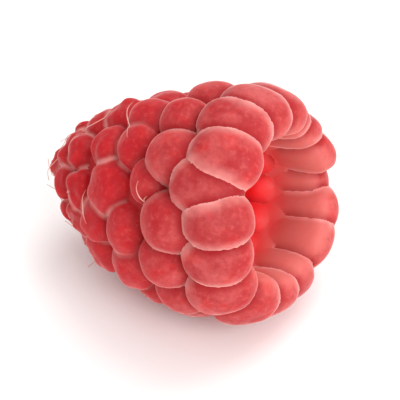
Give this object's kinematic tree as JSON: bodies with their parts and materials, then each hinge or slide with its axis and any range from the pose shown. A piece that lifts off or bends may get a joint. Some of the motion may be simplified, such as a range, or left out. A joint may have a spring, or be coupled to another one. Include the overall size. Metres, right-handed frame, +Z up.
{
  "type": "raspberry",
  "caption": "Picked raspberry with rounded, closely packed drupelets and an open hollow where its core came out, lying on its side.",
  "frame": {"origin": "middle of the box that holds the berry, on the surface it lies on", "axes": "+X out of the open wide end, rising 12.5 degrees along the berry's own axis; +Z up; +Y across"},
  "size_m": [0.0236, 0.0198, 0.0203],
  "materials": {
    "skin": "satin, slightly downy"
  },
  "bodies": {
    "root": {"raspberry": "skin"}
  },
  "joints": []
}
